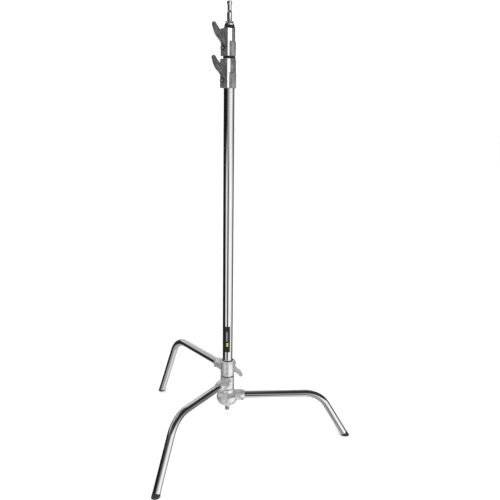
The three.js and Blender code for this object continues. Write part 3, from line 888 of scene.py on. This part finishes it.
def swept(stations, outer, inner, sides=64):
    """A tube along stations in the XZ plane, open at both ends."""
    vertices = []
    for radius in (outer, inner):
        for point, normal in stations:
            for k in range(sides):
                angle = 2 * math.pi * k / sides
                side, up = math.sin(angle) * radius, math.cos(angle) * radius
                vertices.append((point.x + normal.x * up, side, point.y + normal.y * up))
    count = len(stations)
    faces = []
    for shell in range(2):
        base = shell * count * sides
        for i in range(count - 1):
            for k in range(sides):
                n = (k + 1) % sides
                a, b = base + i * sides, base + (i + 1) * sides
                face = [a + k, b + k, b + n, a + n]
                faces.append(face if shell == 0 else face[::-1])
    inner_base = count * sides
    last = (count - 1) * sides
    for k in range(sides):
        n = (k + 1) % sides
        faces.append([k, n, inner_base + n, inner_base + k])
        faces.append([last + n, last + k, inner_base + last + k, inner_base + last + n])
    return mesh_of(vertices, faces)


def foot_mesh(line):
    """A rubber wedge, flat on the floor, and its plug up the tube."""
    plug = LEG_RADIUS - LEG_WALL - 0.5
    outline = [
        (0, -PLUG_LENGTH), (plug - 1, -PLUG_LENGTH), (plug, -PLUG_LENGTH + 1.5), (plug, GAP),
        (FOOT_RADIUS - 1, GAP), (FOOT_RADIUS, 1.4), (FOOT_RADIUS, 60), (0, 60),
    ]
    mesh = revolve(rounded(outline, 0.5), 64)
    lean = math.degrees(math.atan2(line.down.x, -line.down.y))
    mesh = moved(mesh, shift(line.end.x, 0, line.end.y) @ turn(180 - lean, "Y"))
    above_floor = block(line.end.x - 90, line.end.x + 90, -90, 90, 0, 200)
    return bevelled(common(mesh, above_floor), 0.7, 28)


def leg(prefix, body, size):
    """A leg's tube, foot and fixing screw."""
    place = facing(size["azimuth"])
    line = LegLine(size)
    sweep = swept(line.stations(), LEG_RADIUS, LEG_RADIUS - LEG_WALL)
    piece(f"{prefix}_leg_tube", body, moved(sweep, place), CHROME)
    piece(f"{prefix}_leg_foot", body, moved(foot_mesh(line), place), RUBBER)
    fixing = screw_mesh(tip=LEG_RADIUS + 0.7, seat=17.9, shank=2.4, head=4.6)
    piece(f"{prefix}_leg_screw", body, moved(fixing, place @ across_leg(size)), STEEL)


def along_leg(size):
    """Lays a piece made along Z along the upper run of a leg."""
    return shift(0, 0, size["height"]) @ turn(90 - math.degrees(math.atan(LEG_RISE)), "Y")


def across_leg(size):
    """Points a piece made along Z out of a socket, low on its side, where the leg's screw is."""
    height = size["height"] + LEG_RISE * SCREW_REACH
    return shift(SCREW_REACH, 0, height) @ turn(SCREW_TILT * size["screw_side"], "X")


# ---- Hubs ----

RIB_AZIMUTH, SPLIT_AZIMUTH = 142, 82  # on the top hub, from its leg


def socket_parts(size):
    """The leg's socket: a thick sleeve with a rolled rim, and a pad for its screw."""
    outline = [
        (0, 10), (SOCKET_RADIUS, 10), (SOCKET_RADIUS, SOCKET_END - 13),
        (SOCKET_RADIUS - 1.5, SOCKET_END - 6), (SOCKET_RADIUS - 3.5, SOCKET_END), (0, SOCKET_END),
    ]
    pad = moved(rod(7, 8, 18.8, 48), across_leg(size))
    return [moved(revolve(outline), along_leg(size)), pad]


def hub_cuts(size, bore, low):
    """The holes for a hub's leg, its screw and the column."""
    return [
        moved(rod(LEG_RADIUS + GAP, LEG_START - GAP, SOCKET_END + 20, 72), along_leg(size)),
        moved(rod(2.7, LEG_RADIUS - 2, 40, 32), across_leg(size)),
        moved(rod(HEAD_BORE, 17.6, 40, 48), across_leg(size)),
        rod(bore, low, 400),
    ]


def barrel(bottom, top):
    """The round body of the middle or top hub."""
    outline = [
        (0, bottom), (HUB_RADIUS - 0.8, bottom), (HUB_RADIUS, bottom + 1),
        (HUB_RADIUS, top - 1.4), (HUB_RADIUS - 1.4, top), (0, top),
    ]
    return revolve(outline)


def lower_hub():
    """The bowl-shaped casting under the column, notched round its lower edge."""
    bottom, top = LOWER_HUB["bottom"], LOWER_HUB["top"]
    bowl = [
        (0, bottom), (16, bottom), (26, bottom + 3), (33, bottom + 10),
        (BOWL_RADIUS - 1, bottom + 20), (BOWL_RADIUS, bottom + 29), (BOWL_RADIUS - 1.5, bottom + 37),
        (HUB_RADIUS + 3, bottom + 45), (HUB_RADIUS, bottom + 49),
        (HUB_RADIUS, top - 1.4), (HUB_RADIUS - 1.4, top), (0, top),
    ]
    notches = [
        moved(block(27, 45, -3.2, 3.2, bottom - 5, bottom + 20), turn(15 + k * 360 / BOWL_NOTCHES))
        for k in range(BOWL_NOTCHES)
    ]
    cuts = hub_cuts(LOWER_LEG, HUB_BORE, COLUMN["bottom"] - GAP)
    cuts.append(rod(BASE_BOLT["hole"], bottom - 5, COLUMN["bottom"] + 5, 48))
    mesh = casting([revolve(bowl), *socket_parts(LOWER_LEG)], notches, cuts, 0.8, 3, 0.45)
    place = facing(LOWER_LEG["azimuth"])
    piece("lower_hub", "column", moved(mesh, place), CASTING, 50)


def middle_hub():
    """The middle leg's casting and the screw in its side."""
    azimuth, height = MIDDLE_SCREW["azimuth"], MIDDLE_SCREW["height"]
    across = turn(azimuth) @ shift(0, 0, height) @ along_x()
    parts = [barrel(MIDDLE_HUB["bottom"], MIDDLE_HUB["top"]), *socket_parts(MIDDLE_LEG)]
    parts.append(moved(rod(8, 19, HUB_RADIUS + 2.4, 48), across))
    cuts = hub_cuts(MIDDLE_LEG, HUB_BORE, 0)
    cuts.append(moved(rod(5.6, HUB_RADIUS + 0.6, 40, 48), across))
    cuts.append(moved(rod(3, 10, 40, 32), across))
    mesh = casting(parts, [], cuts, 0.9, 4, 0.4)
    place = facing(MIDDLE_LEG["azimuth"])
    piece("middle_hub", "middle_leg", moved(mesh, place), CASTING, 50)
    fixing = screw_mesh(tip=HUB_BORE + 0.4, seat=HUB_RADIUS + 0.9, shank=2.6, head=5.2)
    fixing = moved(fixing, place @ across)
    piece("middle_hub_screw", "middle_leg", fixing, STEEL)


def top_hub():
    """The sliding leg's casting, with its clamp boss, a rib and a split, and its clamp."""
    bottom, top = TOP_HUB["bottom"], TOP_HUB["top"]
    to_clamp = BASE_CLAMP["azimuth"] - TOP_LEG["azimuth"]
    half = BOSS_HALF_WIDTH
    boss = block(15, BASE_CLAMP["face"], -half, half, bottom + 4, top - 4)
    rib = block(15, HUB_RADIUS + 1.4, -4.5, 4.5, bottom + 8, top - 12)
    split = block(HUB_RADIUS - 3, 40, -1.5, 1.5, top - 30, top - 8)
    parts = [barrel(bottom, top), *socket_parts(TOP_LEG)]
    parts += [moved(boss, turn(to_clamp)), moved(rib, turn(RIB_AZIMUTH))]
    cuts = hub_cuts(TOP_LEG, LINER["radius"] + GAP, 0)
    cuts.append(moved(split, turn(SPLIT_AZIMUTH)))
    cuts += clamp_cuts(turn(to_clamp), BASE_CLAMP["height"], LINER["radius"] + GAP)
    mesh = casting(parts, [], cuts, 0.9, 4, 0.4)
    place = facing(TOP_LEG["azimuth"])
    piece("top_hub", "top_leg", moved(mesh, place), CASTING, 50)
    place = facing(BASE_CLAMP["azimuth"])
    shoe_from = LINER["radius"] + GAP
    clamp("base", place, BASE_CLAMP["height"], BASE_CLAMP["face"], shoe_from, CASTING, flipped=True)


def slide_liner():
    """The plastic bushing that the top hub turns on and slides with."""
    low, high = LINER["bottom"], TOP_HUB["top"] - 0.5
    step = TOP_HUB["bottom"] - GAP
    outline = [
        (LINER["bore"], low), (LINER["flange"], low), (LINER["flange"], step),
        (LINER["radius"], step), (LINER["radius"], high), (LINER["bore"], high),
    ]
    sleeve("slide_liner", "slide_ring", outline, 0.4)


def base_fastening():
    """The bolt, washer and nut under the column, its plug, and the rings between the hubs."""
    bottom = LOWER_HUB["bottom"]
    nut_top = bottom - 2.6
    hole = BASE_BOLT["hole"]
    bolt = moved(threaded(STUD_RADIUS, BASE_BOLT["bottom"], BASE_BOLT["top"]), AT_COLUMN)
    piece("base_bolt", "column", bolt, STEEL)
    washer = moved(ring(hole, 10, bottom - 2.3, bottom - GAP), AT_COLUMN)
    piece("base_bolt_washer", "column", washer, STEEL)
    flange = [(0, nut_top - 10), (7, nut_top - 10), (10, nut_top - 1.5), (10, nut_top), (0, nut_top)]
    hexagon = rod(7.6, BASE_BOLT["bottom"] + 2, nut_top - 3, 6)
    nut = united(hexagon, revolve(rounded(flange, 0.6), 72))
    nut = moved(cut(nut, [rod(hole, 50, 200, 48)]), AT_COLUMN)
    piece("base_bolt_nut", "column", nut, STEEL)
    low = COLUMN["bottom"]
    plug = ring(hole, COLUMN["radius"] - COLUMN["wall"] - 0.5, low + 1, low + 20)
    piece("column_end_plug", "column", moved(plug, AT_COLUMN), NYLON)
    washer = ring(17.9, 23, LOWER_HUB["top"] + GAP, MIDDLE_HUB["bottom"] - GAP)
    piece("lower_hub_washer", "column", moved(washer, AT_COLUMN), NYLON)
    retainer = ring(17.9, 22.5, MIDDLE_HUB["top"] + GAP, LINER["bottom"] - GAP)
    piece("hub_retaining_ring", "column", moved(retainer, AT_COLUMN), STEEL)


# ---- Label: plain film with a plain bar and two plain bands ----


def patch(inner, outer, start, end, low, high, steps=24):
    """A thin curved plate on the column between two azimuths."""
    angles = [math.radians(start + (end - start) * i / steps) for i in range(steps + 1)]
    outline = [(outer * math.cos(a), outer * math.sin(a)) for a in angles]
    outline += [(inner * math.cos(a), inner * math.sin(a)) for a in reversed(angles)]
    return moved(prism(outline, high - low), AT_COLUMN @ shift(0, 0, low))


def label():
    inner = LABEL["radius"]
    outer = inner + LABEL["thickness"]
    low, high = LABEL["bottom"], LABEL["bottom"] + LABEL["height"]
    mesh = patch(inner, outer, LABEL["from"], LABEL["to"], low, high)
    piece("column_label", "column", mesh, LABEL_BLACK)
    middle = (LABEL["from"] + LABEL["to"]) / 2
    skin = (outer + 0.01, outer + 0.05)  # a printed layer's inner and outer radius
    bar_from, bar_to = low + 40, low + 74
    bar = patch(*skin, middle - 8, middle + 4, bar_from, bar_to, 10)
    piece("label_bar", "column", bar, LABEL_GREY)
    for k in range(2):
        band_from = low + 22 + 7 * k
        band = patch(*skin, middle - 8, middle + 12, band_from, band_from + 4.5, 10)
        piece(f"label_band_{k}", "column", band, LABEL_YELLOW)


# ---- Camera, floor and light ----

CAMERA = {"back": 1.993, "height": 1.146, "yaw": 2.13, "pitch": 13.02, "roll": -0.82}
LENS = {"length": 43.416, "sensor": 36}
STRIP = {
    "azimuth": 12, "distance": 2.6, "height": 1.9, "aim": 0.8, "size": (0.5, 1.8), "power": 40,
}
FLOOR = {"radius": 40000, "bottom": -0.2, "top": -0.1}
WHITE = 1.12  # brightness of the room to everything but reflections

# Brightness of the panels at each azimuth, and the elevations over which each row gives way to
# the next one up. 0 degrees is where the picture is taken from, 90 is its right.
NADIR = (
    (-180, 0.5), (-110, 0.4), (-60, 0.32), (-24, 0.34), (2, 0.62), (30, 0.8), (100, 0.7),
    (150, 0.5), (180, 0.5),
)
LOW = (
    (-180, 0.05), (-150, 0.04), (-110, 0.03), (-82, 0.0), (-66, 0.02), (-50, 0.75), (-28, 1.0),
    (-17, 0.06), (-2, 0.02), (9, 0.3), (18, 0.9), (34, 1.1), (80, 0.95), (104, 0.2),
    (130, 0.08), (180, 0.05),
)
LEVEL = (
    (-180, 0.5), (-165, 0.3), (-140, 0.02), (-58, 0.004), (-36, 0.04), (-14, 0.34), (8, 0.5),
    (24, 0.95), (62, 1.0), (82, 0.42), (110, 0.08), (150, 0.1), (165, 0.3), (180, 0.5),
)
MID = (
    (-180, 0.75), (-150, 0.6), (-110, 0.5), (-72, 0.4), (-45, 0.06), (60, 0.08), (90, 0.02),
    (135, 0.01), (150, 0.5), (180, 0.75),
)
HIGH = ((-180, 0.1), (-150, 0.35), (-90, 0.4), (-60, 0.03), (120, 0.03), (180, 0.1))
ROWS = ((LOW, -44, -34), (LEVEL, -11, -2), (MID, 12, 22), (HIGH, 38, 50))


def camera():
    """The picture's viewpoint: about head height, in front of the column and tilted down."""
    yaw, pitch, roll = (math.radians(CAMERA[name]) for name in ("yaw", "pitch", "roll"))
    flat = math.cos(pitch)
    ahead = Vector((math.sin(yaw) * flat, math.cos(yaw) * flat, -math.sin(pitch)))
    level = Vector((math.cos(yaw), -math.sin(yaw), 0))
    upright = level.cross(ahead)
    right = level * math.cos(roll) - upright * math.sin(roll)
    up = level * math.sin(roll) + upright * math.cos(roll)
    data = bpy.data.cameras.new("camera")
    data.sensor_width = LENS["sensor"]
    data.lens = LENS["length"]
    made = bpy.data.objects.new("camera", data)
    bpy.context.scene.collection.objects.link(made)
    place = Matrix((right, up, -ahead)).transposed().to_4x4()
    place.translation = Vector((AXIS.x, AXIS.y - CAMERA["back"], CAMERA["height"]))
    made.matrix_world = place
    bpy.context.scene.camera = made


def floor():
    """A white floor that glossy surfaces don't see: they see the studio's own panels there."""
    shader = Shader("studio_floor", Roughness=0.9)
    tone = shader.noise(3.0, 3.0)
    shader.colour(shader.shades(tone, (0.3, grey(0.95)), (0.7, grey(0.97))))
    low, high, edge = FLOOR["bottom"], FLOOR["top"], FLOOR["radius"]
    mesh = revolve([(0, low), (edge, low), (edge, high), (0, high)])
    mesh.materials.append(shader.material)
    made = bpy.data.objects.new("floor", mesh)
    made.location = (AXIS.x, AXIS.y, 0)
    made.visible_glossy = False
    bpy.context.scene.collection.objects.link(made)


class Sky:
    """The world's node tree: panels of light round the studio, by direction."""

    def __init__(self):
        made = bpy.data.worlds.new("studio")
        bpy.context.scene.world = made
        made.use_nodes = True
        self.tree = made.node_tree
        direction = self.add("ShaderNodeTexCoord").outputs["Generated"]
        self.parts = self.add("ShaderNodeSeparateXYZ")
        self.link(direction, self.parts.inputs[0])
        away = self.add("ShaderNodeMath")
        away.operation = "MULTIPLY"
        away.inputs[1].default_value = -1
        self.link(self.parts.outputs["Y"], away.inputs[0])
        angle = self.add("ShaderNodeMath")
        angle.operation = "ARCTAN2"
        self.link(self.parts.outputs["X"], angle.inputs[0])
        self.link(away.outputs[0], angle.inputs[1])
        self.turned = self.span(angle.outputs[0], -math.pi, math.pi)

    def add(self, kind):
        return self.tree.nodes.new(kind)

    def link(self, output, socket):
        self.tree.links.new(output, socket)

    def span(self, value, low, high, smooth=False):
        made = self.add("ShaderNodeMapRange")
        made.interpolation_type = "SMOOTHSTEP" if smooth else "LINEAR"
        made.inputs["From Min"].default_value = low
        made.inputs["From Max"].default_value = high
        self.link(value, made.inputs["Value"])
        return made.outputs["Result"]

    def panels(self, stops):
        """A row of panels round the studio, from (azimuth, brightness) stops."""
        ramp = self.add("ShaderNodeValToRGB")
        elements = ramp.color_ramp.elements
        while len(elements) < len(stops):
            elements.new(1.0)
        for element, (degrees, value) in zip(elements, stops):
            element.position = (degrees + 180) / 360
            element.color = (value, value, value, 1)
        self.link(self.turned, ramp.inputs["Fac"])
        return ramp.outputs["Color"]

    def above(self, below, over, low, high):
        """One set of panels giving way to another between two elevations in degrees."""
        sines = [math.sin(math.radians(angle)) for angle in (low, high)]
        return self.blend(self.span(self.parts.outputs["Z"], *sines, smooth=True), below, over)

    def blend(self, factor, first, second):
        mix = self.add("ShaderNodeMix")
        mix.data_type = "RGBA"
        self.link(factor, mix.inputs["Factor"])
        colours = [socket for socket in mix.inputs if socket.type == "RGBA"]
        for socket, value in zip(colours, (first, second)):
            if isinstance(value, bpy.types.NodeSocket):
                self.link(value, socket)
            else:
                socket.default_value = (value, value, value, 1)
        return [socket for socket in mix.outputs if socket.type == "RGBA"][0]


def world():
    """A white studio whose dark and bright panels show only in reflections."""
    sky = Sky()
    room = sky.panels(NADIR)
    for row, low, high in ROWS:
        room = sky.above(room, sky.panels(row), low, high)
    path = sky.add("ShaderNodeLightPath")
    seen = sky.blend(path.outputs["Is Glossy Ray"], WHITE, room)
    sky.link(seen, sky.tree.nodes["Background"].inputs["Color"])


def strip_light():
    """A tall soft panel that faces the middle of the stand from beside the camera."""
    data = bpy.data.lights.new("front_strip", "AREA")
    data.shape = "RECTANGLE"
    data.size, data.size_y = STRIP["size"]
    data.energy = STRIP["power"]
    made = bpy.data.objects.new("front_strip", data)
    place = turn(STRIP["azimuth"] - 90) @ Vector((STRIP["distance"], 0, 0))
    made.location = (AXIS.x + place.x, AXIS.y + place.y, STRIP["height"])
    aim = Vector((AXIS.x, AXIS.y, STRIP["aim"])) - made.location
    made.rotation_euler = aim.to_track_quat("-Z", "Y").to_euler()
    made.visible_glossy = False
    bpy.context.scene.collection.objects.link(made)


# ---- Build ----

column_clamp = COLUMN_COLLAR["bottom"] + CLAMP_RISE
riser_clamp = RISER_COLLAR["bottom"] + CLAMP_RISE
tube("column_tube", "column", COLUMN, (CLAMP_AZIMUTH, column_clamp, SHOE_HOLE))
tube("riser_1_tube", "riser_1", RISER_1, (CLAMP_AZIMUTH, riser_clamp, SHOE_HOLE))
tube("riser_2_tube", "riser_2", RISER_2, (90, PIN_HEIGHT, PIN["hole"]))
guide("riser_1_guide", "riser_1", RISER_1, 15.5)
guide("riser_2_guide", "riser_2", RISER_2, 13.3)
spigot()
collar("column", "column", COLUMN_COLLAR, COLUMN, RISER_1)
collar("riser", "riser_1", RISER_COLLAR, RISER_1, RISER_2)
plastic_ring()
top_cap()
lower_hub()
leg("lower", "column", LOWER_LEG)
middle_hub()
leg("middle", "middle_leg", MIDDLE_LEG)
top_hub()
leg("top", "top_leg", TOP_LEG)
slide_liner()
base_fastening()
label()

camera()
floor()
world()
strip_light()

bpy.context.scene.view_settings.view_transform = "Standard"
